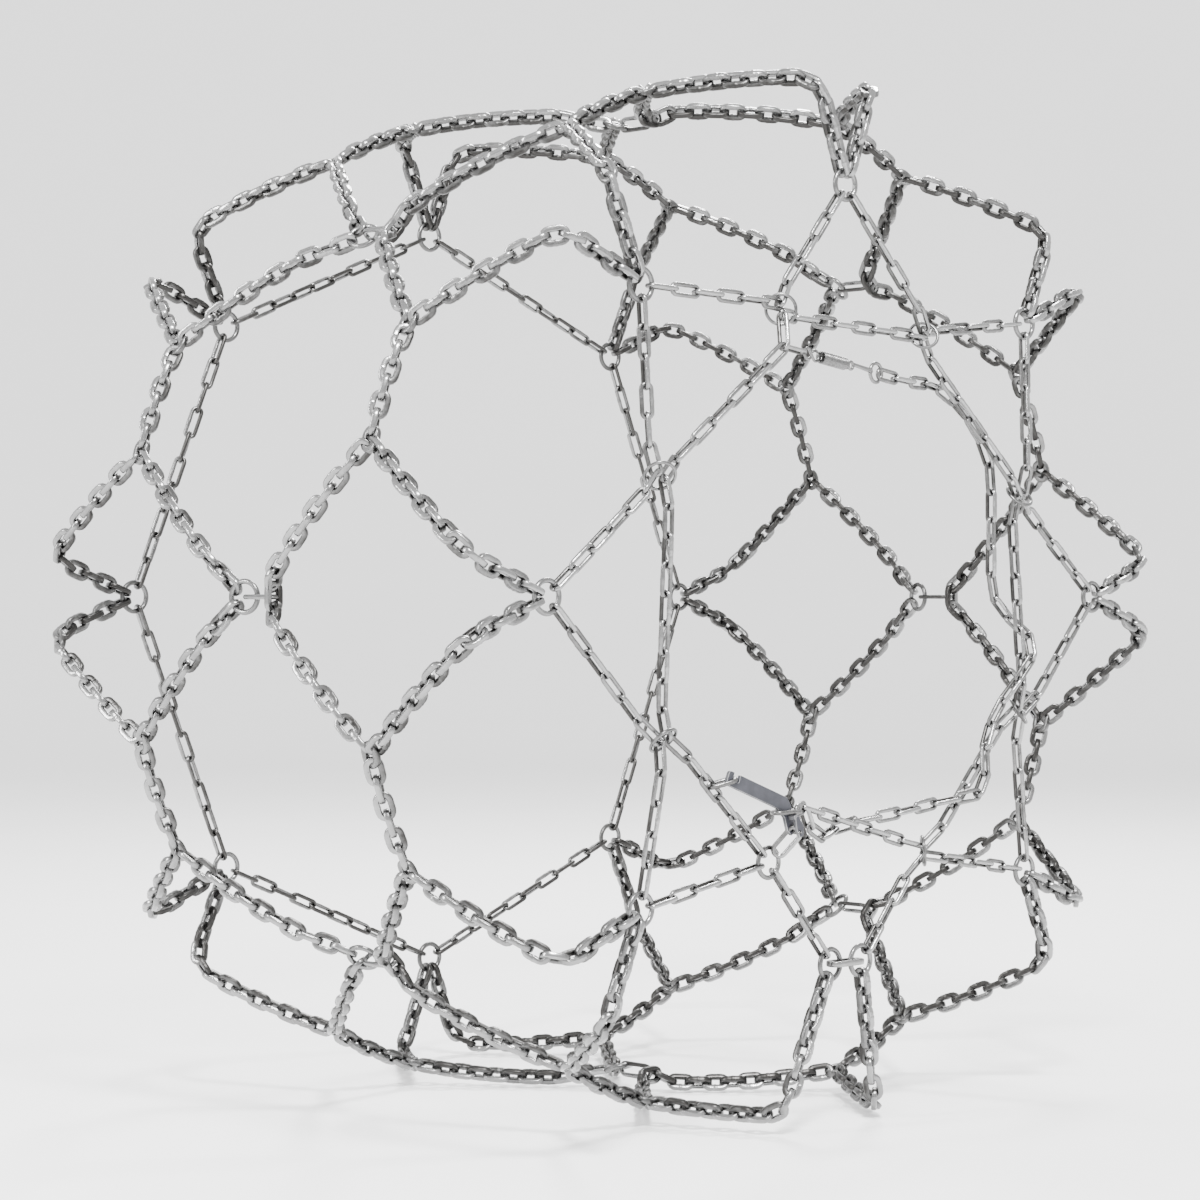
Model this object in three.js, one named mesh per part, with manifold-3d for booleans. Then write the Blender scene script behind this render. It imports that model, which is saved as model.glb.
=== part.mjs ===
// Snow chain net for a twin truck wheel, laid round both tires and tensioned.
// Millimetres. The axle is the Y axis, the outer side of the wheel faces -Y and +Z is up.
// The origin is on the axle, midway between the two tires.
import * as THREE from "three";
import { mergeVertices } from "three/addons/utils/BufferGeometryUtils.js";
import Module from "manifold-3d";

// ---- the twin wheel that the net is made for ----
const treadRadius = 535;
const tireSpacing = 366;
const crownHalf = 125;
const crownDrop = 6;
const shoulderRadius = 18;

// ---- chains: wire, width of a link, and the spacing of a strand's sections ----
const heavy = { wire: 6, width: 20, spacing: 37 };
const light = { wire: 5, width: 15, spacing: 30 };
const clearance = 0.5;

// ---- the net ----
const sections = 8;
const sectionAngle = 360 / sections;
const forkAngle = 16;
const forkDisc = 14;
const forkInset = 9;
const edgeShare = 0.76;
const shoulderRingRadius = 429;
const shoulderRing = { outer: 37, wire: 5.5 };
const hiddenChain = { ...light, spacing: 60 };
const midRing = { outer: 36.5, wire: 5.5, drop: 19, y: 8, lean: 18 };
const crossLinkHalf = 13;
const connector = { width: 18, wire: 5, slack: 4.8 };
const endPair = { radius: 381, halfGap: 24, leftShare: 0.5, rightShare: 0.9 };
const closing = { length: 50, width: 20, wire: 6 };

// ---- tension rings round the rim opening, by their place and the way they lean ----
const tensionRing = { outer: 34, wire: 3.5 };
const heavyTensionRing = { outer: 35.5, wire: 5 };
const tensionLift = 8;
const grip = 5;
const weave = 7;
const ringLean = { tangential: 0.68, radial: 0.2, outward: 0.7 };
const heavyPlace = "f";
const tensionRings = {
  a: { angle: 110.5, radius: 311 },
  b: { angle: 67, radius: 303 },
  c: { angle: 21.5, radius: 306 },
  d: { angle: -24, radius: 310 },
  e: { angle: -66.5, radius: 295 },
  f: { angle: -115.5, radius: 297 },
  g: { angle: -153.5, radius: 313 },
  h: { angle: 157.5, radius: 308 },
};

// ---- tensioning lever: its neck and handle turn about a pin in its fork ----
const lever = {
  fromRing: { x: 16, z: 31 },
  thickness: 4,
  neck: { length: 29, width: 14, angle: 108 },
  handle: { length: 93, width: 15, angle: 160 },
  slot: { start: 75.5, end: 84.5, depth: 8.5 },
  fork: { cheek: 3.5, height: 15 },
  pin: 5,
};
const looseLink = { length: 40, width: 18, wire: 5 };
const forkPlay = 1.5;
const keeperHeight = 21.5;
const latch = { angle: 198, tilt: 6 };
const lockEnd = { x: 28, z: 23, lift: 8 };
const leverLift = (light.width + looseLink.width) / 2 + clearance;

// ---- the way of the spare end from the lever: x, z and how far behind the tension plane ----
const spareRoute = [
  [-66, -234, 0], [-48, -247, 2], [-28, -246, 8], [-4, -239, 15], [30, -233, 6],
  [76, -228, 0], [135, -221, 0], [176, -215, -12], [203, -210, -14], [212, -190, -10],
  [221, -156, -2], [238, -133, 0], [253, -110, -4], [276, -80, -14], [291, -58, -16],
  [294, -42, -4], [283, -24, 13], [265, -8, 16], [250, 16, 12], [247, 60, 10], [247, 118, 10],
  [244, 152, 12], [226, 184, 16], [199, 208, 18], [166, 224, 17], [143, 228, 12], [92, 229, 4],
  [45, 234, 0],
];

// ---- spring set that holds the spare end back on the tension chain ----
const springJoint = { x: -117, z: 252, front: 12 };
const anchor = { gap: 10, length: 28, width: 12, wire: 3.5 };
const hook = { length: 32, width: 14, wire: 3 };
const coil = { length: 42, outer: 13.5, wire: 1.8, turns: 8 };
const endRing = { outer: 24, wire: 4 };

const wasm = await Module();
wasm.setup();

const chainRadius = treadRadius + heavy.width / 2;
const treadY = tireSpacing / 2;
const sideOffset = crownHalf + shoulderRadius;
const sideY = treadY + sideOffset;
const tensionY = sideY + tensionLift;
const degrees = Math.PI / 180;
const along = new THREE.Vector3(1, 0, 0);
const axial = new THREE.Vector3(0, 1, 0);
const outwards = new THREE.Vector3(0, -1, 0);
const upwards = new THREE.Vector3(0, 0, 1);

// Rings and links are made of square wire with the area of round wire.
const flatness = Math.sqrt(Math.PI) / 2;

const steel = (name, color) => {
  const finish = { color, roughness: 0.32, metalness: 1 };
  return Object.assign(new THREE.MeshStandardMaterial(finish), { name });
};

// ---- solids ----

const bare = (geometry) => {
  const copy = geometry.clone();
  for (const name of Object.keys(copy.attributes)) {
    if (name !== "position") copy.deleteAttribute(name);
  }
  return mergeVertices(copy, 1e-4);
};

const solid = (geometry) => {
  const { attributes, index } = bare(geometry);
  const vertProperties = new Float32Array(attributes.position.array);
  const triVerts = new Uint32Array(index.array);
  return new wasm.Manifold(new wasm.Mesh({ numProp: 3, vertProperties, triVerts }));
};

const join = (geometries) => {
  const whole = geometries.map(solid).reduce((sum, next) => sum.add(next));
  const { vertProperties, triVerts } = whole.getMesh();
  const geometry = new THREE.BufferGeometry();
  geometry.setAttribute("position", new THREE.BufferAttribute(vertProperties, 3));
  geometry.setIndex(new THREE.BufferAttribute(triVerts, 1));
  return geometry;
};

// Turns a geometry drawn about the origin so that its X, Y and Z axes point along three directions.
const placed = (geometry, origin, xAxis, yAxis, zAxis) => {
  const frame = new THREE.Matrix4().makeBasis(xAxis, yAxis, zAxis).setPosition(origin);
  return geometry.clone().applyMatrix4(frame);
};

// A frame whose Z axis is exactly along one direction and whose X axis is near another.
const frameAlong = (along, near) => {
  const z = along.clone().normalize();
  const y = new THREE.Vector3().crossVectors(z, near).normalize();
  return [new THREE.Vector3().crossVectors(y, z), y, z];
};

// A ring about the Z axis.
const ringSolid = ({ outer, wire }) => {
  const half = (wire * flatness) / 2;
  const middle = (outer - wire) / 2;
  const corners = [[1, -1], [1, 1], [-1, 1], [-1, -1], [1, -1]];
  const profile = corners.map(([x, y]) => new THREE.Vector2(middle + x * half, y * half));
  return new THREE.LatheGeometry(profile, 12).rotateX(Math.PI / 2);
};

// A long link lying in the XY plane, its length along X.
const linkSolid = ({ length, width, wire }) => {
  const outline = (path, inset) => {
    const radius = width / 2 - inset;
    const straight = (length - width) / 2;
    path.absarc(straight, 0, radius, -Math.PI / 2, Math.PI / 2);
    path.absarc(-straight, 0, radius, Math.PI / 2, Math.PI * 1.5);
    return path;
  };
  const shape = outline(new THREE.Shape(), 0);
  shape.holes.push(outline(new THREE.Path(), wire));
  const flat = { depth: wire * flatness, bevelEnabled: false, curveSegments: 3 };
  return new THREE.ExtrudeGeometry(shape, flat).translate(0, 0, -flat.depth / 2);
};

// ---- chain strands ----

// A route is a list of { point, up } along the chain's centre line.
const routeLength = (route) => {
  let total = 0;
  for (let i = 1; i < route.length; i++) total += route[i].point.distanceTo(route[i - 1].point);
  return total;
};

const onRoute = (route, distance) => {
  let left = Math.max(distance, 0);
  for (let i = 1; i < route.length; i++) {
    const step = route[i].point.distanceTo(route[i - 1].point);
    if (left <= step || i === route.length - 1) {
      const share = Math.min(left / step, 1);
      return {
        point: route[i - 1].point.clone().lerp(route[i].point, share),
        up: route[i - 1].up.clone().lerp(route[i].up, share).normalize(),
      };
    }
    left -= step;
  }
};

// Four corners of a strand's section, across the route and along its up direction.
const sectionCorners = (route, distance, reach, across, high) => {
  const { point, up } = onRoute(route, distance);
  const back = onRoute(route, distance - reach).point;
  const ahead = onRoute(route, distance + reach).point.sub(back);
  const side = new THREE.Vector3().crossVectors(up, ahead).normalize();
  const rise = new THREE.Vector3().crossVectors(ahead, side).normalize();
  const signs = [[-1, -1], [1, -1], [1, 1], [-1, 1]];
  return signs.map(([a, b]) =>
    point.clone().addScaledVector(side, (a * across) / 2).addScaledVector(rise, (b * high) / 2));
};

// Skins a list of four-cornered sections into one closed solid.
const loft = (rows) => {
  const positions = rows.flat().flatMap((p) => [p.x, p.y, p.z]);
  const faces = [];
  for (let row = 0; row + 1 < rows.length; row++) {
    for (let i = 0; i < 4; i++) {
      const a = row * 4 + i;
      const b = row * 4 + ((i + 1) % 4);
      faces.push(a, b, b + 4, a, b + 4, a + 4);
    }
  }
  const last = (rows.length - 1) * 4;
  faces.push(0, 2, 1, 0, 3, 2, last, last + 1, last + 2, last, last + 2, last + 3);
  const geometry = new THREE.BufferGeometry();
  geometry.setAttribute("position", new THREE.Float32BufferAttribute(positions, 3));
  geometry.setIndex(faces);
  return geometry;
};

// A strand of chain as one solid, standing and lying flat by turns as its links do.
// A stretch that passes through a ring is slim.
const strand = (route, chain, { standing = true, slimStart = false, slimEnd = false } = {}) => {
  const stretches = Math.max(1, Math.round(routeLength(route) / chain.spacing));
  const step = routeLength(route) / stretches;
  const joint = chain.wire + 1;
  const rows = [sectionCorners(route, 0, step / 4, joint, joint)];
  for (let i = 0; i < stretches; i++) {
    const slim = (slimStart && i === 0) || (slimEnd && i === stretches - 1);
    const wide = slim ? joint : chain.width;
    const upright = (i % 2 === 0) === standing;
    const [across, high] = upright ? [chain.wire, wide] : [wide, chain.wire];
    rows.push(sectionCorners(route, (i + 0.5) * step, step / 2, across, high));
  }
  rows.push(sectionCorners(route, stretches * step, step / 4, joint, joint));
  return loft(rows);
};

// ---- places on the tires ----

const polar = (angle, radius, y) =>
  new THREE.Vector3(Math.cos(angle * degrees) * radius, y, Math.sin(angle * degrees) * radius);

// The chain's centre line on one tire's cross section: crown, then the shoulder's arc.
// Side is -1 towards the outer face of the wheel and 1 away from it.
const onTire = (middleY, side, along, angle) => {
  const onCrown = Math.min(along, crownHalf);
  const lean = Math.max(along - crownHalf, 0) / shoulderRadius;
  const drop = crownDrop * (onCrown / crownHalf) ** 2 + shoulderRadius * (1 - Math.cos(lean));
  const offset = onCrown + shoulderRadius * Math.sin(lean);
  const up = polar(angle, Math.cos(lean), side * Math.sin(lean));
  return { point: polar(angle, chainRadius - drop, middleY + side * offset), up };
};

// A diagonal over one tire from a fork on the tread to the given distance over the shoulder.
const diagonal = (middleY, side, fromAngle, toAngle, reach) => {
  const steps = 12;
  return Array.from({ length: steps + 1 }, (_, i) => {
    const share = i / steps;
    return onTire(middleY, side, reach * share, fromAngle + (toAngle - fromAngle) * share);
  });
};

// Leaves out the first stretch of a route.
const trimmed = (route, distance) => {
  const steps = route.length - 1;
  const rest = routeLength(route) - distance;
  return Array.from({ length: steps + 1 }, (_, i) => onRoute(route, distance + (rest * i) / steps));
};

// Adds a straight run to a ring, ending just clear of it.
const toRing = (route, center, ring) => {
  const last = route[route.length - 1];
  const back = last.point.clone().sub(center).setLength(ring.outer / 2 + clearance);
  return [...route, { point: center.clone().add(back), up: last.up }];
};

const ringAngle = (k) => 90 - sectionAngle * (k - 1);
const endSection = 5;
const overShoulder = crownHalf + (shoulderRadius * Math.PI) / 2;

// The outer ring that a section's diagonal hooks into. The net's two ends meet at ring five.
const outerRingPlace = (k, fromLeft) => {
  if (k !== endSection) return polar(ringAngle(k), shoulderRingRadius, -sideY);
  const x = fromLeft ? -endPair.halfGap : endPair.halfGap;
  return new THREE.Vector3(x, -sideY, -Math.sqrt(endPair.radius ** 2 - x ** 2));
};

const outerShare = (k, fromLeft) => {
  if (k !== endSection) return edgeShare;
  return fromLeft ? endPair.leftShare : endPair.rightShare;
};

const outerDiagonal = (k, forkAt, fromLeft) => {
  const center = outerRingPlace(k, fromLeft);
  const ringAt = Math.atan2(center.z, center.x) / degrees;
  const turn = ((ringAt - forkAt + 540) % 360) - 180;
  const edge = forkAt + turn * outerShare(k, fromLeft);
  return toRing(diagonal(-treadY, -1, forkAt, edge, overShoulder), center, shoulderRing);
};

const hiddenDiagonal = (k, forkAt) => {
  const center = polar(ringAngle(k), shoulderRingRadius, sideY);
  const edge = forkAt + (ringAngle(k) - forkAt) * edgeShare;
  return toRing(diagonal(treadY, 1, forkAt, edge, overShoulder), center, shoulderRing);
};

// Towards the gap between the tires, the outer tire's diagonal stops at the upright cross link.
const overEdge = crownHalf + shoulderRadius * 1.1;
const gapDiagonal = (k, forkAt) => {
  const turn = forkAt - ringAngle(k);
  const stop = ((crossLinkHalf + heavy.wire) / (chainRadius * degrees)) * Math.sign(turn);
  return diagonal(-treadY, 1, forkAt, ringAngle(k) + stop, overEdge);
};

const midRingPlace = (k) => polar(ringAngle(k), chainRadius - midRing.drop, midRing.y);

const innerGapDiagonal = (k, forkAt) => {
  const reach = crownHalf + shoulderRadius * 0.8;
  const share = reach / (treadY - midRing.y);
  const edge = forkAt + (ringAngle(k) - forkAt) * share;
  return toRing(diagonal(treadY, -1, forkAt, edge, reach), midRingPlace(k), midRing);
};

// The link where three strands of a cross chain meet, lying flat on the tread.
const meetingLink = (middleY, angle) => {
  const { point, up } = onTire(middleY, 1, 0, angle);
  const disc = new THREE.CylinderGeometry(forkDisc, forkDisc, heavy.wire, 6);
  return placed(disc, point, polar(angle + 90, 1, 0), up, axial);
};

const bridge = (middleY, fromAngle, toAngle) => {
  const steps = 8;
  return Array.from({ length: steps + 1 }, (_, i) =>
    onTire(middleY, 1, 0, fromAngle + ((toAngle - fromAngle) * i) / steps));
};

// One section of a tire's cross chains: a bridge along the tread, and two diagonals at each end.
const crossSection = (k, middleY, towardsSide, towardsGap) => {
  const forks = [ringAngle(k) - forkAngle, ringAngle(k) - sectionAngle + forkAngle];
  const inset = forkInset / (chainRadius * degrees);
  const ends = [forks[0] - inset, forks[1] + inset];
  const pieces = [strand(bridge(middleY, ...ends), heavy, { standing: false })];
  forks.forEach((forkAt, end) => {
    const ring = k + end;
    const routes = [towardsSide(ring, forkAt, end === 0), towardsGap(ring, forkAt)];
    for (const route of routes) pieces.push(strand(trimmed(route, forkInset).reverse(), heavy));
    pieces.push(meetingLink(middleY, forkAt));
  });
  return join(pieces);
};

// ---- rings ----

const flatRing = (center, ring, facing) =>
  placed(ringSolid(ring), center, ...frameAlong(facing, Math.abs(facing.z) < 0.9 ? upwards : along));

// A ring between the tires, with its connecting link and the outer tire's upright cross link.
const midNode = (k) => {
  const angle = ringAngle(k);
  const radial = polar(angle, 1, 0);
  const across = polar(angle - 90, 1, 0);
  const facing = polar(angle, Math.cos(midRing.lean * degrees), -Math.sin(midRing.lean * degrees));
  const cross = onTire(-treadY, 1, overEdge, angle).point;
  const nearY = cross.y - connector.wire;
  const ringInner = midRing.outer / 2 - midRing.wire;
  const farY = midRing.y - ringInner + connector.slack + connector.wire;
  const middle = polar(angle, chainRadius - midRing.drop, (nearY + farY) / 2);
  const upright = new THREE.BoxGeometry(crossLinkHalf * 2, heavy.wire, heavy.width);
  return join([
    flatRing(midRingPlace(k), midRing, facing),
    placed(linkSolid({ ...connector, length: farY - nearY }), middle, axial, radial, across),
    placed(upright, cross, across, axial, radial),
  ]);
};

const tensionPlace = ({ angle, radius }) => polar(angle, radius, -tensionY);

const leanAt = (angle) => {
  const facing = polar(angle + 90, ringLean.tangential, -ringLean.outward);
  return facing.add(polar(angle, ringLean.radial, 0)).normalize();
};

// Where a chain bears on a leaning ring: towards the tread, or towards the rim.
const bearing = (ring, towards) => {
  const facing = leanAt(ring.angle);
  const radial = polar(ring.angle, 1, 0);
  const inPlane = radial.addScaledVector(facing, -radial.dot(facing)).setLength(grip * towards);
  return tensionPlace(ring).add(inPlane);
};

// ---- side chains ----

const straight = (points) => points.map((point) => ({ point, up: outwards }));

// The point one light link away from a ring's bearing, set in front of the plane or behind it.
const weaving = (from, to, sign) =>
  from.clone().add(to.clone().sub(from).setLength(light.spacing)).add(new THREE.Vector3(0, sign * weave, 0));

const clearOf = (center, ring, from) =>
  center.clone().add(from.clone().sub(center).setLength(ring.outer / 2 + clearance));

// A side chain from one shoulder ring through a tension ring to the next shoulder ring.
const sideChain = (name, firstRing, secondRing) => {
  const apex = bearing(tensionRings[name], 1);
  const first = clearOf(firstRing, shoulderRing, apex);
  const second = clearOf(secondRing, shoulderRing, apex);
  const front = straight([first, weaving(apex, first, -1), apex]);
  const back = straight([apex, weaving(apex, second, 1), second]);
  return join([strand(front, light, { slimEnd: true }), strand(back, light, { slimStart: true })]);
};

const singleSideChain = (ringFrom, heavyRing) => {
  const near = clearOf(heavyRing, heavyTensionRing, ringFrom);
  return strand(straight([clearOf(ringFrom, shoulderRing, heavyRing), near]), light);
};

// ---- tension chain ----

const inPlane = (x, z, behind = 0) => new THREE.Vector3(x, behind - tensionY, z);

const ringF = tensionPlace(tensionRings[heavyPlace]);
const pivot = inPlane(ringF.x + lever.fromRing.x, ringF.z + lever.fromRing.z, -leverLift);
const lock = inPlane(pivot.x + lockEnd.x, pivot.z + lockEnd.z, -lockEnd.lift);

// The link from the lever's pin to the heavy ring slants, and the fork leaves room for it.
const toHeavyRing = ringF.clone().sub(pivot);
const slant = Math.asin(toHeavyRing.y / toHeavyRing.length());
const halfFlat = (looseLink.wire * flatness) / 2;
const pinReach = lever.pin / 2 / Math.cos(slant) + halfFlat * Math.tan(slant);
const behindPin = pinReach + clearance + looseLink.wire;
const forkGap = 2 * (behindPin * Math.sin(slant) + halfFlat * Math.cos(slant) + clearance);

const sparePart = () => {
  const points = [lock, ...spareRoute.map(([x, z, behind]) => inPlane(x, z, behind))];
  const curve = new THREE.CatmullRomCurve3(points, false, "centripetal");
  return strand(straight(curve.getSpacedPoints(160)), light);
};

// Just before ring "a" the anchor link of the spring set pulls the chain aside, in front of the ring.
const pulledAside = inPlane(springJoint.x, springJoint.z, -springJoint.front);
const overWire = (inRing) => inRing.clone().lerp(pulledAside, 0.3).add(new THREE.Vector3(0, -weave, 0));

// The taut part runs through seven rings from the heavy one, and ends near the lever's neck.
const tensionChain = () => {
  const names = ["g", "h", "a", "b", "c", "d", "e"];
  const bearings = names.map((name) => bearing(tensionRings[name], -1));
  const stops = [clearOf(ringF, heavyTensionRing, bearings[0]), ...bearings, lock];
  const runs = bearings.concat(lock).map((to, i) => {
    const leavesRing = i > 0;
    const meetsRing = to !== lock;
    const route = [stops[i]];
    if (names[i] === "a") route.push(weaving(stops[i], pulledAside, 1), pulledAside, overWire(to));
    else {
      if (leavesRing) route.push(weaving(stops[i], to, 1));
      if (meetsRing) route.push(weaving(to, stops[i], -1));
    }
    route.push(to);
    return strand(straight(route), light, { slimStart: leavesRing, slimEnd: meetsRing });
  });
  return join([...runs, sparePart()]);
};

// ---- lever ----

// A point of the lever from its pin: along a direction and to the right or left of it.
const heading = (angle) => new THREE.Vector2(Math.cos(angle * degrees), Math.sin(angle * degrees));
const onArm = (from, angle, along, aside) => {
  const ahead = heading(angle).multiplyScalar(along);
  return from.clone().add(ahead).add(heading(angle - 90).multiplyScalar(aside));
};
const pinPoint = new THREE.Vector2(0, 0);
const onNeck = (along, aside) => onArm(pinPoint, lever.neck.angle, along, aside);
const bend = onNeck(lever.neck.length, 0);
const onHandle = (along, aside) => onArm(bend, lever.handle.angle, along, aside);

// Extrudes an outline drawn in the plane of the wheel, centred on the lever's own plane.
const plate = (outline, thickness, offset = 0) => {
  const geometry = new THREE.ExtrudeGeometry(new THREE.Shape(outline), {
    depth: thickness, bevelEnabled: false,
  });
  return placed(geometry.translate(0, 0, offset - thickness / 2), pivot, along, upwards, outwards);
};

const leverShape = () => {
  const { neck, handle, slot, fork } = lever;
  const neckHalf = neck.width / 2;
  const half = handle.width / 2;
  const outline = [
    onNeck(fork.height - 5, neckHalf), onNeck(neck.length - 9, neckHalf),
    onNeck(neck.length - 1, neckHalf - 1), onHandle(1, half - 2.5), onHandle(6, half),
    onHandle(slot.start, half), onHandle(slot.start, half - slot.depth),
    onHandle(slot.end, half - slot.depth), onHandle(slot.end, half),
    onHandle(handle.length - 3, half), onHandle(handle.length, half - 4),
    onHandle(handle.length, -half), onHandle(12, -half),
    onNeck(neck.length - 7, -neckHalf), onNeck(fork.height - 5, -neckHalf),
  ];
  const cheekOutline = [
    onNeck(fork.height, neckHalf), onNeck(fork.height, -neckHalf), onNeck(0, -neckHalf),
    onNeck(-5, -neckHalf / 2), onNeck(-6.5, 0), onNeck(-5, neckHalf / 2), onNeck(0, neckHalf),
  ];
  const bridgeOutline = [
    onNeck(fork.height, neckHalf), onNeck(fork.height, -neckHalf),
    onNeck(fork.height - 4.5, -neckHalf), onNeck(fork.height - 4.5, neckHalf),
  ];
  const cheekOffset = (forkGap + fork.cheek) / 2;
  const depth = forkGap + 2 * fork.cheek;
  const pin = new THREE.CylinderGeometry(lever.pin / 2, lever.pin / 2, depth - 1, 12);
  return join([
    plate(outline, lever.thickness),
    plate(cheekOutline, fork.cheek, cheekOffset),
    plate(cheekOutline, fork.cheek, -cheekOffset),
    plate(bridgeOutline, depth),
    pin.translate(pivot.x, pivot.y, pivot.z),
  ]);
};

// The link that holds the lever's fork to the heavy ring.
const forkLinkShape = () => {
  const reach = toHeavyRing.length() - heavyTensionRing.outer / 2 - clearance;
  const direction = toHeavyRing.clone().normalize();
  const side = new THREE.Vector3().crossVectors(axial, direction).normalize();
  const middle = pivot.clone().addScaledVector(direction, (reach - behindPin) / 2);
  const width = lever.pin + 2 * (looseLink.wire + forkPlay);
  const link = linkSolid({ wire: looseLink.wire, width, length: reach + behindPin });
  return placed(link, middle, direction, side, new THREE.Vector3().crossVectors(direction, side));
};

const keeperShape = () => {
  const middle = onNeck(keeperHeight, 0);
  const center = pivot.clone().add(new THREE.Vector3(middle.x - 1, 0, middle.y));
  return placed(linkSolid(looseLink), center, along, axial, upwards);
};

// The link that holds the lever's tip down. Its end bar lies in the slot.
const latchShape = () => {
  const { slot, handle } = lever;
  const seat = onHandle((slot.start + slot.end) / 2, handle.width / 2 - slot.depth / 2);
  const direction = polar(latch.angle, 1, -Math.tan(latch.tilt * degrees)).normalize();
  const fromSeat = looseLink.length / 2 - looseLink.wire / 2 - 0.8;
  const center = pivot.clone().add(new THREE.Vector3(seat.x, 0, seat.y));
  center.addScaledVector(direction, fromSeat);
  const normal = new THREE.Vector3().crossVectors(direction, axial).normalize();
  const side = new THREE.Vector3().crossVectors(normal, direction);
  return placed(linkSolid(looseLink), center, direction, side, normal);
};

// ---- spring set, drawn along X from its anchor towards the spare end ----

const spareEnd = () => {
  const [x, z, behind] = spareRoute[spareRoute.length - 1];
  return inPlane(x, z, behind);
};
const springLine = spareEnd().sub(pulledAside).normalize();
const springStart = pulledAside.clone().addScaledVector(springLine, anchor.gap);
const alongSpring = (geometry, distance) => {
  const center = springStart.clone().addScaledVector(springLine, distance);
  const side = new THREE.Vector3().crossVectors(axial, springLine).normalize();
  return placed(geometry, center, springLine, side, new THREE.Vector3().crossVectors(springLine, side));
};

const round = (wire) => new THREE.Shape().absarc(0, 0, wire / 2, 0, Math.PI * 2);
const tube = (curve, wire, steps, curveSegments = 3) =>
  new THREE.ExtrudeGeometry(round(wire), { extrudePath: curve, steps, curveSegments });

const hookStart = anchor.length - anchor.wire * 1.5;
const coilStart = hookStart + hook.length + clearance;
const coilEnd = coilStart + coil.length;

// An S of wire: a half turn at each end, open on opposite sides.
const hookCurve = () => {
  const half = hook.length / 2 - hook.wire;
  const rise = hook.width / 2 - hook.wire / 2;
  const points = [
    [-half + 9, -rise], [-half + 4, -rise], [-half, 0], [-half + 5, rise], [0, 0],
    [half - 5, -rise], [half, 0], [half - 4, rise], [half - 9, rise],
  ];
  return new THREE.CatmullRomCurve3(points.map(([x, y]) => new THREE.Vector3(x, y, 0)));
};

const hookShape = () => join([
  alongSpring(linkSolid(anchor).rotateX(Math.PI / 2), anchor.length / 2),
  alongSpring(tube(hookCurve(), hook.wire, 24, 2), hookStart + hook.length / 2),
]);

const springShape = () => {
  const radius = (coil.outer - coil.wire) / 2;
  const length = coil.length - coil.wire;
  const perTurn = 8;
  const points = Array.from({ length: coil.turns * perTurn + 1 }, (_, i) => {
    const turn = (i / perTurn) * Math.PI * 2;
    const x = (i / (coil.turns * perTurn) - 0.5) * length;
    return new THREE.Vector3(x, Math.cos(turn) * radius, Math.sin(turn) * radius);
  });
  const curve = new THREE.CatmullRomCurve3(points);
  return alongSpring(tube(curve, coil.wire, coil.turns * perTurn, 2), (coilStart + coilEnd) / 2);
};

// The end hook: a ring for the spare end, on a shank that reaches the spring.
const endHookShape = () => {
  const toSpare = spareEnd().distanceTo(springStart);
  const ringAt = toSpare - endRing.outer / 2 - clearance;
  const shankStart = coilEnd + clearance;
  const shankEnd = ringAt - endRing.outer / 2 + endRing.wire / 2;
  const shank = new THREE.CylinderGeometry(endRing.wire / 2, endRing.wire / 2, shankEnd - shankStart, 8);
  return join([
    alongSpring(ringSolid(endRing), ringAt),
    alongSpring(shank.rotateZ(Math.PI / 2), (shankStart + shankEnd) / 2),
  ]);
};

// ---- link that closes the net, and the side chain on the hidden side ----

const closingShape = () => {
  const middle = outerRingPlace(endSection, true).add(outerRingPlace(endSection, false)).multiplyScalar(0.5);
  return placed(linkSolid(closing), middle, along, axial, upwards);
};

const innerSideChain = () => {
  const pieces = [];
  const reach = shoulderRing.outer / 2 - shoulderRing.wire / 2;
  for (let k = 1; k <= sections; k++) {
    const [from, to] = [k, k + 1].map((ring) => polar(ringAngle(ring), shoulderRingRadius, sideY));
    const inset = to.clone().sub(from).setLength(reach);
    pieces.push(flatRing(from, shoulderRing, axial));
    const route = straight([from.clone().add(inset), to.clone().sub(inset)]);
    pieces.push(strand(route, hiddenChain));
  }
  return join(pieces);
};

// ---- the whole net ----

const net = new THREE.Group();
const add = (name, geometry, material) => {
  const mesh = new THREE.Mesh(geometry, material);
  mesh.name = name;
  net.add(mesh);
};
const treadSteel = () => steel("tread_chain_steel", 0x9a9c9f);
const sideSteel = () => steel("side_chain_steel", 0xa6a8ab);
const ringSteel = () => steel("ring_steel", 0x8d8f93);
const leverSteel = () => steel("lever_steel", 0x55575d);

for (let k = 1; k <= sections; k++) {
  add(`outer_cross_${k}`, crossSection(k, -treadY, outerDiagonal, gapDiagonal), treadSteel());
  add(`inner_cross_${k}`, crossSection(k, treadY, hiddenDiagonal, innerGapDiagonal), treadSteel());
  add(`mid_link_${k}`, midNode(k), ringSteel());
}

const shoulderPlaces = { 1: [1], 2: [2], 3: [3], 4: [4], "5_right": [5, false], "5_left": [5, true],
  6: [6], 7: [7], 8: [8] };
for (const [name, place] of Object.entries(shoulderPlaces)) {
  const ring = flatRing(outerRingPlace(...place), shoulderRing, outwards);
  add(`shoulder_ring_${name}`, ring, ringSteel());
}
for (const [name, place] of Object.entries(tensionRings)) {
  const geometry = name === heavyPlace
    ? flatRing(tensionPlace(place), heavyTensionRing, outwards)
    : flatRing(tensionPlace(place), tensionRing, leanAt(place.angle));
  add(`tension_ring_${name}`, geometry, ringSteel());
}

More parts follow.
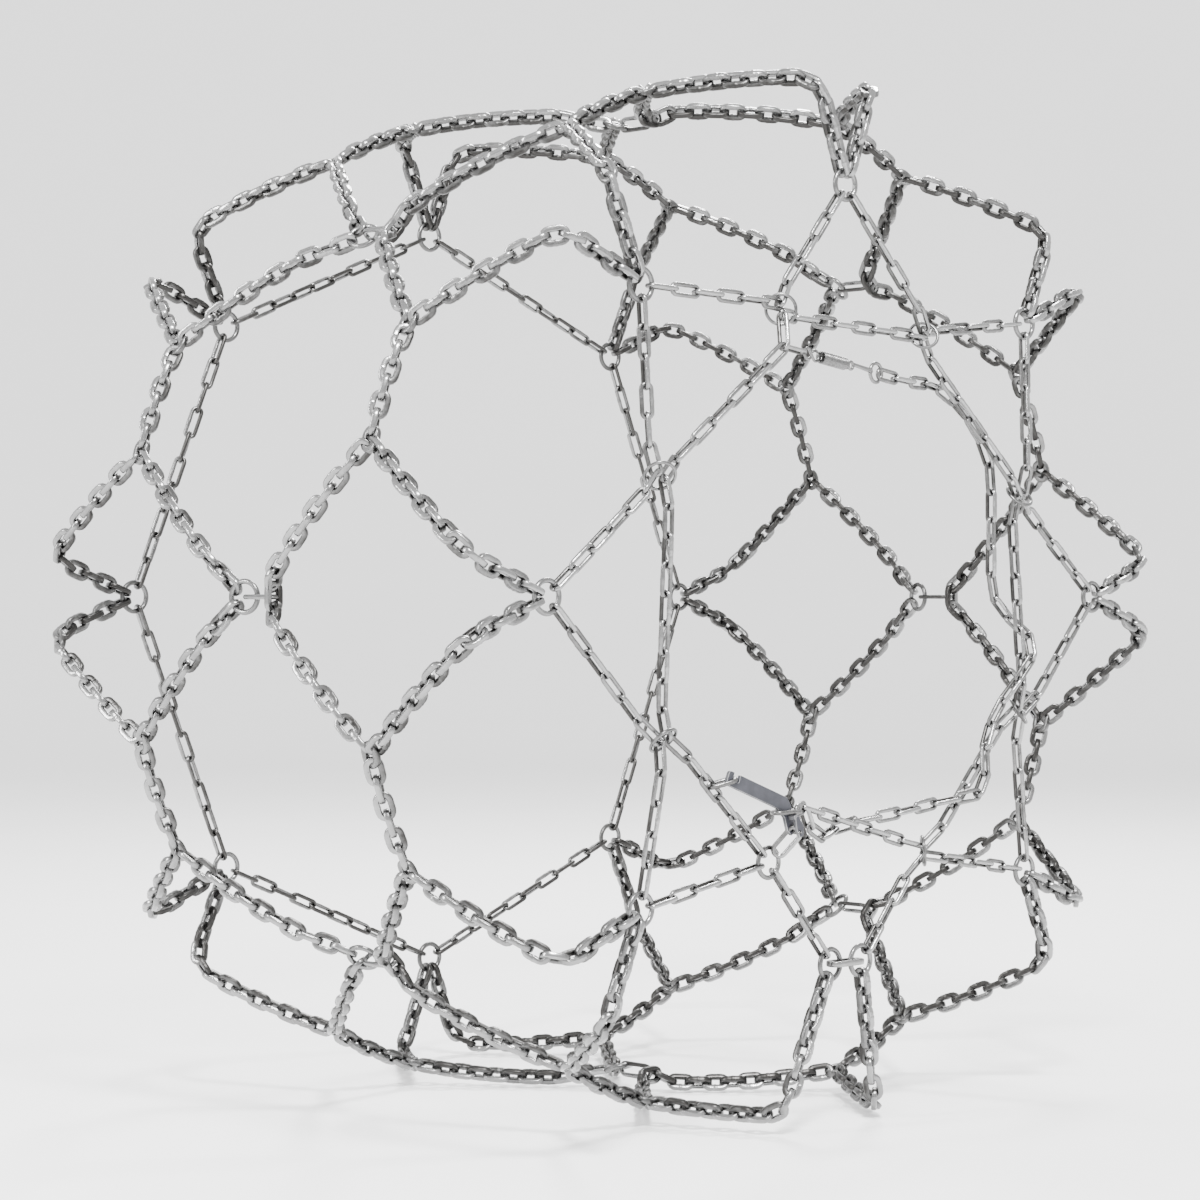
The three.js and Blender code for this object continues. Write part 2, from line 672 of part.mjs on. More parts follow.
// Each V of side chain hangs from two shoulder rings, the counter-clockwise one first.
const sideChains = { a: [8, 1], b: [1, 2], c: [2, 3], d: [3, 4], e: [4, 5], g: [6, 7], h: [7, 8] };
for (const [name, rings] of Object.entries(sideChains)) {
  const ends = rings.map((k) => outerRingPlace(k, false));
  add(`side_chain_${name}`, sideChain(name, ...ends), sideSteel());
}
add("side_chain_f_left", singleSideChain(outerRingPlace(6), ringF), sideSteel());
add("side_chain_f_right", singleSideChain(outerRingPlace(endSection, true), ringF), sideSteel());

add("tension_chain", tensionChain(), sideSteel());
add("lever", leverShape(), leverSteel());
add("keeper_link", keeperShape(), sideSteel());
add("latch_link", latchShape(), sideSteel());
add("fork_link", forkLinkShape(), sideSteel());
add("s_hook", hookShape(), sideSteel());
add("spring", springShape(), sideSteel());
add("end_hook", endHookShape(), sideSteel());
add("closing_link", closingShape(), treadSteel());
add("inner_side_chain", innerSideChain(), sideSteel());

export default net;
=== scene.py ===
"""Looks of a snow chain net for a twin truck wheel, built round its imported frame.

Lengths are in millimetres until a mesh is made. The axle is the Y axis, the outer side faces -Y.
"""

import math
import random

import bmesh
import bpy
import numpy as np
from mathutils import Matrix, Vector


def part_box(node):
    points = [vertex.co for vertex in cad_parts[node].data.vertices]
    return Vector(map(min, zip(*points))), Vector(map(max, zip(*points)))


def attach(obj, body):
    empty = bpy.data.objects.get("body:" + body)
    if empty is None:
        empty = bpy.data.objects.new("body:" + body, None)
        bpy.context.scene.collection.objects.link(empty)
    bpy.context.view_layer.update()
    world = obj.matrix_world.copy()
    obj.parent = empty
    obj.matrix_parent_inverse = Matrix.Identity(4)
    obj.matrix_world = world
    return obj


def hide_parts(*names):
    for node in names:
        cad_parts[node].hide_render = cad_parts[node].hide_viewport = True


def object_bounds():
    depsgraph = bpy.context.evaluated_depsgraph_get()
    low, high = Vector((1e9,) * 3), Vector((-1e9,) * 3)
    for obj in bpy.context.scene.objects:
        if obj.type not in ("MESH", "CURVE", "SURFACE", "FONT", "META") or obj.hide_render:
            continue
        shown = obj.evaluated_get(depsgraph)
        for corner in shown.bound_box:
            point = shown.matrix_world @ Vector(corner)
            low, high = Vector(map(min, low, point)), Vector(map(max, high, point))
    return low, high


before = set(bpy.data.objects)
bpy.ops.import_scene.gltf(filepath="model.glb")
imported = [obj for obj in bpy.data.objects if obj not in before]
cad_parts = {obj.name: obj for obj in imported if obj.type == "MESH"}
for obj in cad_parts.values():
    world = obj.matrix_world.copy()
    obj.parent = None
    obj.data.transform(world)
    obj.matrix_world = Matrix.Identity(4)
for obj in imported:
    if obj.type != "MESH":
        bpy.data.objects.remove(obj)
cad_low, cad_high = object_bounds()
random.seed(11)

MM = 0.001

# ---- the twin wheel that the net is made for ----
TREAD_RADIUS = 535
TIRE_SPACING = 366
CROWN_HALF = 125
CROWN_DROP = 6
SHOULDER_RADIUS = 18
SECTIONS = 8
SECTION_ANGLE = 360 / SECTIONS

# ---- chains: wire, outer width and pitch of their links ----
HEAVY = {"wire": 6, "width": 20, "pitch": 18.5, "corner": 1.3}
LIGHT = {"wire": 4.6, "width": 15, "pitch": 30, "corner": None}
LONG_LINK = {"wire": 5, "width": 18, "corner": None}
MEETING_LINK_WIDTH = 22
ROLL_PLAY = 5

# ---- the net ----
FORK_ANGLE = 16
FORK_REACH = 8
EDGE_SHARE = 0.76
SLANT = {"start": 55, "length": 75}
SHOULDER_RING = {"outer": 37, "wire": 5.5}
MID_RING = {"outer": 36.5, "wire": 5.5, "lean": 18}
MID_CROSS = {"length": 33, "width": 20, "wire": 6, "corner": 1.3}
MID_DROP = 19
MID_Y = 8
END_SECTION = 5
END_SHARES = {"left": 0.5, "right": 0.9}
CLOSING_LINK = {"length": 50, "width": 20, "wire": 6, "corner": 1.3}

# ---- tension rings, their lean and the chains that run through them ----
TENSION_RING = {"outer": 34, "wire": 3.5}
HEAVY_TENSION_RING = {"outer": 35.5, "wire": 5}
RING_LEAN = {"tangential": 0.68, "radial": 0.2, "outward": 0.7}
RING_ANGLES = {"a": 110.5, "b": 67, "c": 21.5, "d": -24, "e": -66.5, "g": -153.5, "h": 157.5}
GRIP = 5
WEAVE = 7

# ---- tensioning lever, drawn from the pin in its fork ----
FROM_RING_F = (16, 31)
LEVER_LIFT = 17
LEVER_THICKNESS = 4
NECK = {"length": 29, "width": 14, "angle": 108}
HANDLE = {"length": 93, "width": 15, "angle": 160}
SLOT = {"start": 75.5, "end": 84.5, "depth": 8.5}
PRONG_GAP = 9.5
PRONG_THICKNESS = 3.4
LEVER_PIN = {"wire": 4.6, "behind": 2.6, "in_front": 2.4}
KEEPER = {"height": 21.5, "half": 15, "joining_width": 15}
LATCH_ANGLE = 197
LOCK = (28, 23, 8)

# ---- the way of the spare end: x, z and how far behind the tension plane ----
SPARE_ROUTE = [
    (-66, -234, 0), (-48, -247, 2), (-28, -246, 8), (-4, -239, 15), (30, -233, 6),
    (76, -228, 0), (135, -221, 0), (176, -215, -12), (203, -210, -14), (212, -190, -10),
    (221, -156, -2), (238, -133, 0), (253, -110, -4), (276, -80, -14), (291, -58, -16),
    (294, -42, -4), (283, -24, 13), (265, -8, 16), (250, 16, 12), (247, 60, 10), (247, 118, 10),
    (244, 152, 12), (226, 184, 16), (199, 208, 18), (166, 224, 17), (143, 228, 12), (92, 229, 4),
    (45, 234, 0),
]

# ---- spring set ----
SPRING_JOINT = (-117, 252, 12)
ANCHOR = {"length": 38, "width": 12, "wire": 3.5, "corner": None}
HOOK = {"length": 32, "width": 14, "wire": 3}
COIL = {"length": 42, "outer": 13.5, "wire": 1.8, "turns": 20, "eye": 4.2}
END_RING = {"outer": 24, "wire": 4}
END_EYE = 4

# ---- floor, and the camera as it looks at the origin ----
FLOOR_GAP = 2
CAMERA_AZIMUTH = -45.1
CAMERA_DISTANCE = 3403
CAMERA_LENS = 91.5
CAMERA_SHIFT = (-0.0194, -0.0026)

CHAIN_RADIUS = TREAD_RADIUS + HEAVY["wire"] + 4
TREAD_Y = TIRE_SPACING / 2
SIDE_Y = TREAD_Y + CROWN_HALF + SHOULDER_RADIUS
OVER_SHOULDER = CROWN_HALF + SHOULDER_RADIUS * math.pi / 2
OUTER_GAP_REACH = CROWN_HALF + SHOULDER_RADIUS * 1.1
INNER_GAP_REACH = CROWN_HALF + SHOULDER_RADIUS * 0.8
X, Y, Z = np.eye(3)


# ---- vectors ----


def unit(v):
    return v / np.linalg.norm(v)


def polar(angle, radius, y):
    a = math.radians(angle)
    return np.array([math.cos(a) * radius, y, math.sin(a) * radius])


def center_of(node):
    """The middle of a CAD node's box, in millimetres."""
    low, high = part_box(node)
    return np.array((low + high) / 2) / MM


# ---- camera, stage and lights ----


def make_camera():
    a = math.radians(CAMERA_AZIMUTH)
    back = Vector((math.sin(a), -math.cos(a), 0))
    data = bpy.data.cameras.new("camera")
    data.lens = CAMERA_LENS
    data.sensor_width = 36
    data.shift_x, data.shift_y = CAMERA_SHIFT
    camera = bpy.data.objects.new("camera", data)
    camera.location = back * CAMERA_DISTANCE * MM
    camera.rotation_mode = "QUATERNION"
    camera.rotation_quaternion = (-back).to_track_quat("-Z", "Y")
    bpy.context.collection.objects.link(camera)
    bpy.context.scene.camera = camera


def make_stage(floor_z):
    """A pale round floor that curves up into a low wall on every side."""
    floor_radius, rise, height, rings = 6.5, 2.5, 4.0, 10
    profile = [(0.01, 0.0), (floor_radius, 0.0)]
    for i in range(1, rings + 1):
        a = i / rings * math.pi / 2
        profile.append((floor_radius + rise * math.sin(a), rise * (1 - math.cos(a))))
    profile.append((floor_radius + rise, height))
    steps = 96
    verts = []
    for r, z in profile:
        for i in range(steps):
            a = 2 * math.pi * i / steps
            verts.append((r * math.cos(a), r * math.sin(a), floor_z + z))
    faces = [tuple(range(steps))]
    for row in range(len(profile) - 1):
        for i in range(steps):
            j = (i + 1) % steps
            faces.append((row * steps + i, row * steps + j, (row + 1) * steps + j, (row + 1) * steps + i))
    mesh = bpy.data.meshes.new("floor")
    mesh.from_pydata(verts, [], faces)
    mesh.shade_smooth()
    floor = bpy.data.objects.new("floor", mesh)
    bpy.context.collection.objects.link(floor)
    g = Graph("pale_floor")
    g.link(g.mix(g.noise(1.5, 2), gray(0.84), gray(0.88)), g.shader.inputs["Base Color"])
    g.shader.inputs["Roughness"].default_value = 0.9
    mesh.materials.append(g.material)


def area_light(name, place, size, power, target=(0, 0, 0)):
    data = bpy.data.lights.new(name, "AREA")
    data.shape = "RECTANGLE"
    data.size, data.size_y = size
    data.energy = power
    light = bpy.data.objects.new(name, data)
    light.location = place
    light.rotation_mode = "QUATERNION"
    light.rotation_quaternion = (Vector(target) - Vector(place)).to_track_quat("-Z", "Y")
    bpy.context.collection.objects.link(light)


def make_lights():
    world = bpy.data.worlds.new("studio")
    world.use_nodes = True
    background = world.node_tree.nodes["Background"]
    background.inputs["Color"].default_value = (1, 1, 1, 1)
    background.inputs["Strength"].default_value = 2.0
    bpy.context.scene.world = world
    area_light("key", (-1.6, -2.2, 3.4), (0.8, 0.8), 420)
    area_light("rim", (2.4, 1.6, 2.8), (0.9, 0.9), 260)
    area_light("side", (-3.2, 0.8, 1.4), (0.4, 1.8), 130)


# ---- materials ----


class Graph:
    """Short calls for making and joining shader nodes."""

    def __init__(self, name):
        self.material = bpy.data.materials.new(name)
        self.material.use_nodes = True
        self.tree = self.material.node_tree
        self.shader = self.tree.nodes["Principled BSDF"]
        self.place = self.node("ShaderNodeTexCoord").outputs["Object"]

    def node(self, kind, **values):
        made = self.tree.nodes.new(kind)
        for key, value in values.items():
            setattr(made, key, value)
        return made

    def link(self, source, target):
        if isinstance(source, (int, float, tuple)):
            target.default_value = source
        else:
            self.tree.links.new(source, target)

    def noise(self, scale, detail=3.0, roughness=0.55):
        made = self.node("ShaderNodeTexNoise")
        made.inputs["Scale"].default_value = scale
        made.inputs["Detail"].default_value = detail
        made.inputs["Roughness"].default_value = roughness
        self.link(self.place, made.inputs["Vector"])
        return made.outputs["Fac"]

    def attribute(self, name):
        return self.node("ShaderNodeAttribute", attribute_name=name).outputs["Fac"]

    def math(self, operation, first, second):
        made = self.node("ShaderNodeMath", operation=operation)
        self.link(first, made.inputs[0])
        self.link(second, made.inputs[1])
        return made.outputs[0]

    def spread(self, value, low, high, to_low=0.0, to_high=1.0):
        made = self.node("ShaderNodeMapRange", clamp=True)
        self.link(value, made.inputs["Value"])
        ends = {"From Min": low, "From Max": high, "To Min": to_low, "To Max": to_high}
        for socket, end in ends.items():
            made.inputs[socket].default_value = end
        return made.outputs["Result"]

    def mix(self, share, first, second):
        made = self.node("ShaderNodeMix", data_type="RGBA")
        self.link(share, made.inputs["Factor"])
        colors = [socket for socket in made.inputs if socket.type == "RGBA"]
        self.link(first, colors[0])
        self.link(second, colors[1])
        return [socket for socket in made.outputs if socket.type == "RGBA"][0]

    def bump(self, height, distance, strength=1.0, below=None):
        made = self.node("ShaderNodeBump")
        made.inputs["Distance"].default_value = distance * MM
        made.inputs["Strength"].default_value = strength
        self.link(height, made.inputs["Height"])
        if below is not None:
            self.link(below, made.inputs["Normal"])
        return made.outputs["Normal"]


def gray(value, warm=0.0):
    return (value * (1 + warm), value, value * (1 - warm), 1)


def steel_with_wear_and_painted_light(name, dull, bright, rough):
    """Bare steel: lighter on the outward side of each link, partly rubbed where it meets the road and partly
    painted highlight, and darker on the side towards the tire, which is painted shade. Rubbed bright where it
    meets its neighbours, with random patches, tone and dark spots.
    """
    g = Graph(name)
    patches = g.noise(95, 4)
    grain = g.noise(1500, 3)
    rubbed = g.attribute("rubbed")
    tone = g.attribute("tone")
    polish_and_painted_light = g.math("ADD", g.math("MULTIPLY", rubbed, 0.8), g.math("MULTIPLY", patches, 0.5))
    polish_and_painted_light = g.spread(g.math("ADD", polish_and_painted_light, g.math("MULTIPLY", tone, 0.2)), 0.42, 1.12)
    # The mix from dull to bright carries real rubbing and also painted highlight on the outward side and
    # painted shade on the side towards the tire.
    color = g.mix(polish_and_painted_light, gray(dull, 0.03), gray(bright, 0.0))
    spots = g.spread(g.noise(420, 5, 0.7), 0.66, 0.78)
    color = g.mix(g.math("MULTIPLY", spots, 0.35), color, gray(dull * 0.5, 0.12))
    g.link(color, g.shader.inputs["Base Color"])
    shine = g.spread(polish_and_painted_light, 0, 1, rough + 0.13, rough)
    shine = g.math("ADD", shine, g.math("MULTIPLY", g.math("SUBTRACT", grain, 0.5), 0.12))
    g.link(shine, g.shader.inputs["Roughness"])
    dents = g.bump(g.noise(260, 2), 0.35, 0.6)
    g.link(g.bump(grain, 0.05, 0.5, dents), g.shader.inputs["Normal"])
    g.shader.inputs["Metallic"].default_value = 1.0
    return g.material


def coated_steel(name):
    """Dark slate coating on pressed steel, worn to metal along its edges."""
    g = Graph(name)
    patches = g.noise(60, 4)
    grain = g.noise(1100, 3)
    edges = g.spread(g.math("ADD", g.attribute("rubbed"), g.math("MULTIPLY", patches, 0.5)), 0.95, 1.3)
    slate = g.mix(g.spread(patches, 0.35, 0.7), (0.022, 0.023, 0.03, 1), (0.04, 0.041, 0.052, 1))
    g.link(g.mix(edges, slate, gray(0.42)), g.shader.inputs["Base Color"])
    g.link(g.spread(edges, 0, 1, 0.15, 0.9), g.shader.inputs["Metallic"])
    shine = g.math("ADD", 0.42, g.math("MULTIPLY", grain, 0.16))
    g.link(shine, g.shader.inputs["Roughness"])
    lumps = g.bump(g.noise(180, 3), 0.3, 0.5)
    g.link(g.bump(grain, 0.06, 0.5, lumps), g.shader.inputs["Normal"])
    return g.material


# ---- meshes ----


class Shape:
    """Vertices in millimetres, faces, how rubbed each vertex is with painted highlight and painted shade
    mixed in, and how light each vertex is.
    """

    def __init__(self):
        self.points, self.faces, self.rubbed, self.tone = [], [], [], []
        self.count = 0

    def add(self, points, faces, rubbed, tone):
        self.points.append(points)
        self.faces.extend((faces + self.count).tolist())
        self.rubbed.append(rubbed)
        self.tone.append(np.full(len(points), tone))
        self.count += len(points)

    def piece(self, name, material, body, slot, *nodes):
        mesh = bpy.data.meshes.new(name)
        mesh.from_pydata(np.concatenate(self.points) * MM, [], self.faces)
        for key, values in (("rubbed", self.rubbed), ("tone", self.tone)):
            attribute = mesh.attributes.new(key, "FLOAT", "POINT")
            attribute.data.foreach_set("value", np.concatenate(values).astype(np.float32))
        mesh.shade_smooth()
        mesh.materials.append(material)
        return settle(bpy.data.objects.new(name, mesh), body, slot, *nodes)


def settle(piece, body, slot, *nodes):
    """Puts a piece in the scene, on its body, in place of its CAD nodes. The slot is not used."""
    if piece.name not in bpy.context.collection.objects:
        bpy.context.collection.objects.link(piece)
    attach(piece, body)
    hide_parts(*nodes)
    return piece


def wire_section(wire, corner=None):
    """Points round a wire, as (outwards, upwards) pairs. Square wire has a corner radius."""
    if corner is None:
        turns = np.arange(12) * math.tau / 12
        facing = np.stack([np.cos(turns), np.sin(turns)], 1)
        return facing * wire / 2
    flat = wire / 2 - corner
    points = []
    for quarter in range(4):
        middle = math.radians(45 + 90 * quarter)
        sign = np.sign([math.cos(middle), math.sin(middle)])
        for step in (-45, 0, 45):
            a = middle + math.radians(step)
            points.append(sign * flat + corner * np.array([math.cos(a), math.sin(a)]))
    return np.array(points)


def sweep(centers, outs, ups, section, closed):
    """Skins a section along a line. Every row's out and up directions are given."""
    rows, size = len(centers), len(section)
    points = (
        centers[:, None, :]
        + section[None, :, 0, None] * outs[:, None, :]
        + section[None, :, 1, None] * ups[:, None, :]
    ).reshape(-1, 3)
    i, j = np.meshgrid(np.arange(rows if closed else rows - 1), np.arange(size), indexing="ij")
    ahead, beside = (i + 1) % rows, (j + 1) % size
    corners = [i * size + j, ahead * size + j, ahead * size + beside, i * size + beside]
    faces = np.stack(corners, -1).reshape(-1, 4)
    return points, faces


def link_outline(reach, radius, weld=True):
    """Rows round a link's middle line in its own plane: place, outward direction and weld swelling."""
    straight = reach - radius
    arc = np.radians(np.linspace(-90, 90, 9))
    right = np.stack([straight + radius * np.cos(arc), radius * np.sin(arc)], 1)
    right_out = np.stack([np.cos(arc), np.sin(arc)], 1)
    spans = np.array([0.5, 0.16, 0, -0.16, -0.5]) if weld else np.array([0.0])
    top = np.stack([spans * straight, np.full(len(spans), radius)], 1)
    top_out = np.tile([0.0, 1.0], (len(spans), 1))
    places = np.concatenate([right, top, -right, [[0, -radius]]])
    outs = np.concatenate([right_out, top_out, -right_out, [[0.0, -1.0]]])
    swell = np.ones(len(places))
    if weld:
        swell[len(right) + 1: len(right) + 4] = (1.05, 1.12, 1.05)
    return places, outs, swell


def add_link(shape, start, end, up, roll, kind, weld=True):
    """Adds a link whose inner ends are at start and end, turned about its length by roll degrees."""
    wire, width = kind["wire"], kind["width"]
    reach = (np.linalg.norm(end - start) + wire) / 2
    length = unit(end - start)
    across = unit(np.cross(up, length))
    rise = np.cross(length, across)
    a = math.radians(roll)
    side = across * math.cos(a) + rise * math.sin(a)
    normal = np.cross(length, side)
    places, outs, swell = link_outline(reach, (width - wire) / 2, weld)
    section = wire_section(wire, kind["corner"])
    middle = (start + end) / 2
    centers = middle + places[:, :1] * length + places[:, 1:] * side
    out = outs[:, :1] * length + outs[:, 1:] * side
    points, faces = sweep(centers, out, np.tile(normal, (len(places), 1)), section, True)
    rows = points.reshape(len(places), len(section), 3)
    rows[:] = centers[:, None] + (rows - centers[:, None]) * swell[:, None, None]
    points = rows.reshape(-1, 3)
    height = (points - middle) @ rise / (width / 2)
    ends = np.repeat(np.abs(outs[:, 0]), len(section))
    inner = np.tile(np.clip(-section[:, 0] / (wire / 2), 0, 1), len(places))
    # Painted light: the side facing the up direction, away from the tire, is made lighter, partly as road
    # wear and partly as painted highlight, and the side towards the tire darker as painted shade. The inner
    # faces at the link ends are rubbed bright where links meet.
    rubbed = np.clip(0.38 + 0.55 * height + 0.4 * ends * inner, 0, 1)
    shape.add(points, faces, rubbed, random.random())


def add_ring(shape, center, facing, ring, steps=56):
    radius = (ring["outer"] - ring["wire"]) / 2
    facing = unit(facing)
    first = unit(np.cross(facing, Z if abs(facing[2]) < 0.9 else X))
    second = np.cross(facing, first)
    turns = np.arange(steps) * math.tau / steps
    outs = np.cos(turns)[:, None] * first + np.sin(turns)[:, None] * second
    section = wire_section(ring["wire"])
    points, faces = sweep(center + outs * radius, outs, np.tile(facing, (steps, 1)), section, True)
    inner = np.tile(np.clip(-section[:, 0] / ring["wire"] * 2, 0, 1), steps)
    outer = np.tile(np.clip(section[:, 1] / ring["wire"] * 2, 0, 1), steps)
    # The inner side is rubbed bright where links bear on it; the face turned to the ring's facing direction
    # is made lighter, a painted highlight.
    shape.add(points, faces, np.clip(0.4 + 0.35 * inner + 0.35 * outer, 0, 1), random.random())


def add_tube(shape, line, wire):
    """Adds round wire along an open line, drawn in at both tips."""
    line = np.array(line, float)
    tangents = np.gradient(line, axis=0)
    tangents /= np.linalg.norm(tangents, axis=1)[:, None]
    side = unit(np.cross(tangents[0], Z if abs(tangents[0][2]) < 0.9 else X))
    outs, ups = [], []
    for tangent in tangents:
        side = unit(side - tangent * (side @ tangent))
        outs.append(side)
        ups.append(np.cross(tangent, side))
    tip, narrow = wire * 0.3, 0.55
    scale = np.array([narrow, *np.ones(len(line)), narrow])[:, None]
    line = np.concatenate([[line[0] - tangents[0] * tip], line, [line[-1] + tangents[-1] * tip]])
    outs = np.array([outs[0], *outs, outs[-1]]) * scale
    ups = np.array([ups[0], *ups, ups[-1]]) * scale
    section = wire_section(wire)
    points, faces = sweep(line, outs, ups, section, False)
    points = np.concatenate([points, [line[0]], [line[-1]]])
    size, last = len(section), (len(line) - 1) * len(section)
    around = np.arange(size)
    start = np.stack([around, (around + 1) % size, np.full(size, len(points) - 2)], 1)
    end = np.stack([last + (around + 1) % size, last + around, np.full(size, len(points) - 1)], 1)
    rubbed = np.full(len(points), 0.55)
    before = shape.count
    shape.add(points, faces[:, ::-1], rubbed, random.random())
    shape.faces.extend((start + before).tolist())
    shape.faces.extend((end + before).tolist())


# ---- routes: lists of (point, up) ----


def measured(route):
    """A route's points, its up directions and how far along it each point lies."""
    points = np.array([point for point, up in route])
    ups = np.array([up for point, up in route])
    steps = np.linalg.norm(np.diff(points, axis=0), axis=1)
    return points, ups, np.concatenate([[0], np.cumsum(steps)])


def at(route, distances):
    """Places and up directions at distances along a route."""
    points, ups, along = measured(route)
    place = np.stack([np.interp(distances, along, points[:, i]) for i in range(3)], 1)
    up = np.stack([np.interp(distances, along, ups[:, i]) for i in range(3)], 1)
    return place, up / np.linalg.norm(up, axis=1)[:, None]


def add_chain(shape, route, kind, roll_of, first=0):
    """Fills a route with links. Returns the number of the link that would come next."""
    total = measured(route)[2][-1]
    count = max(1, round(total / kind["pitch"]))
    joints, _ = at(route, np.linspace(0, total, count + 1))
    _, ups = at(route, (np.arange(count) + 0.5) * total / count)
    for i in range(count):
        share = (i + 0.5) / count
        roll = roll_of(first + i, share * total) + random.uniform(-ROLL_PLAY, ROLL_PLAY)
        add_link(shape, joints[i], joints[i + 1], ups[i], roll, kind)
    return first + count


def by_turns(twist=0.0, length=1.0, start=0.0):
    """Links stand and lie flat by turns, with a slow twist along the length after the one at its start."""
    return lambda number, distance: 90 * ((number + 1) % 2) + twist * distance / length + start


def slanting(number, distance):
    """Links slant one way and the other by turns, wherever they lie."""
    return 45 if number % 2 else -45


def from_side_to_tread(number, distance):
    """Standing and flat on the sidewall, slanting both ways on the tread."""
    fade = min(max((distance - SLANT["start"]) / SLANT["length"], 0), 1)
    return 90 * ((number + 1) % 2) - 45 * fade


# ---- places on the tires ----


def on_tire(middle_y, side, along, angle):
    """The chain's place over a tire, at a distance from the tread's middle, and the way up from there."""
    on_crown = min(along, CROWN_HALF)
    lean = max(along - CROWN_HALF, 0) / SHOULDER_RADIUS
    drop = CROWN_DROP * (on_crown / CROWN_HALF) ** 2 + SHOULDER_RADIUS * (1 - math.cos(lean))
    offset = on_crown + SHOULDER_RADIUS * math.sin(lean)
    up = polar(angle, math.cos(lean), side * math.sin(lean))
    return polar(angle, CHAIN_RADIUS - drop, middle_y + side * offset), up


def diagonal(middle_y, side, from_angle, to_angle, reach):
    """A slanting route from the tread's middle line out to a reach from it."""
    steps = 40
    shares = [i / steps for i in range(steps + 1)]
    return [on_tire(middle_y, side, reach * s, from_angle + (to_angle - from_angle) * s) for s in shares]


def trimmed(route, distance):
    """A route without its first stretch."""
    total = measured(route)[2][-1]
    places, ups = at(route, np.linspace(distance, total, len(route)))
    return list(zip(places, ups))


def to_ring(route, center, ring):
    """Adds a straight run that hooks into a ring, from inside its wire."""
    point, up = route[-1]
    inner = ring["outer"] / 2 - ring["wire"]
    return [*route, (center + unit(point - center) * inner, up)]


def ring_angle(k):
    return 90 - SECTION_ANGLE * (k - 1)


def shoulder_node(k, from_left):
    if k != END_SECTION:
        return f"shoulder_ring_{(k - 1) % SECTIONS + 1}"
    return "shoulder_ring_5_left" if from_left else "shoulder_ring_5_right"


def outer_diagonal(k, fork_at, from_left):
    center = center_of(shoulder_node(k, from_left))
    ring_at = math.degrees(math.atan2(center[2], center[0]))
    turn = (ring_at - fork_at + 540) % 360 - 180
    share = EDGE_SHARE
    if k == END_SECTION:
        share = END_SHARES["left" if from_left else "right"]
    route = diagonal(-TREAD_Y, -1, fork_at, fork_at + turn * share, OVER_SHOULDER)
    return to_ring(route, center, SHOULDER_RING)


def hidden_ring(k):
    """The middle of a ring on the hidden side, at its section's angle."""
    radius = np.linalg.norm(center_of("shoulder_ring_1")[[0, 2]])
    return polar(ring_angle(k), radius, SIDE_Y)


def hidden_diagonal(k, fork_at):
    edge = fork_at + (ring_angle(k) - fork_at) * EDGE_SHARE
    route = diagonal(TREAD_Y, 1, fork_at, edge, OVER_SHOULDER)
    return to_ring(route, hidden_ring(k), SHOULDER_RING)


def gap_diagonal(k, fork_at):
    inner = MID_CROSS["length"] / 2 - MID_CROSS["wire"]
    turn = fork_at - ring_angle(k)
    stop = math.degrees(inner / CHAIN_RADIUS) * math.copysign(1, turn)
    return diagonal(-TREAD_Y, 1, fork_at, ring_angle(k) + stop, OUTER_GAP_REACH)


def mid_center(k):
    return polar(ring_angle(k), CHAIN_RADIUS - MID_DROP, MID_Y)


def inner_gap_diagonal(k, fork_at):
    edge = fork_at + (ring_angle(k) - fork_at) * INNER_GAP_REACH / (TREAD_Y - MID_Y)
    return to_ring(diagonal(TREAD_Y, -1, fork_at, edge, INNER_GAP_REACH), mid_center(k), MID_RING)


# ---- tread nets ----


def bridge(middle_y, from_angle, to_angle):
    trim = math.degrees(FORK_REACH / CHAIN_RADIUS)
    steps = 12
    angles = np.linspace(from_angle - trim, to_angle + trim, steps)
    return [on_tire(middle_y, 1, 0, angle) for angle in angles]


def add_meeting_link(shape, middle_y, angle):
    """The link, flat on the tread, that a bridge and two diagonals hook into."""
    point, up = on_tire(middle_y, 1, 0, angle)
    along = polar(angle + 90, FORK_REACH, 0)
    add_link(shape, point - along, point + along, up, 0, {**HEAVY, "width": MEETING_LINK_WIDTH}, weld=False)


def make_section(k, tire, middle_y, to_side, to_gap, steel):
    """One cross chain: a bridge strand, and at each end a joining link and two diagonals."""
    forks = [ring_angle(k) - FORK_ANGLE, ring_angle(k) - SECTION_ANGLE + FORK_ANGLE]
    strands, links = Shape(), Shape()
    add_chain(strands, bridge(middle_y, *forks), HEAVY, slanting)
    for end, fork_at in enumerate(forks):
        ring = k + end
        side = trimmed(to_side(ring, fork_at, end == 0), FORK_REACH)[::-1]
        gap = trimmed(to_gap(ring, fork_at), FORK_REACH)[::-1]
        add_chain(strands, side, HEAVY, from_side_to_tread)
        add_chain(strands, gap, HEAVY, slanting)
        add_meeting_link(links, middle_y, fork_at)
    node = f"{tire}_cross_{k}"
    strands.piece(f"{tire}_tread_strands_{k}", steel, "net", "tread_chain", node)
    links.piece(f"{tire}_meeting_links_{k}", steel, "net", "tread_chain", node)


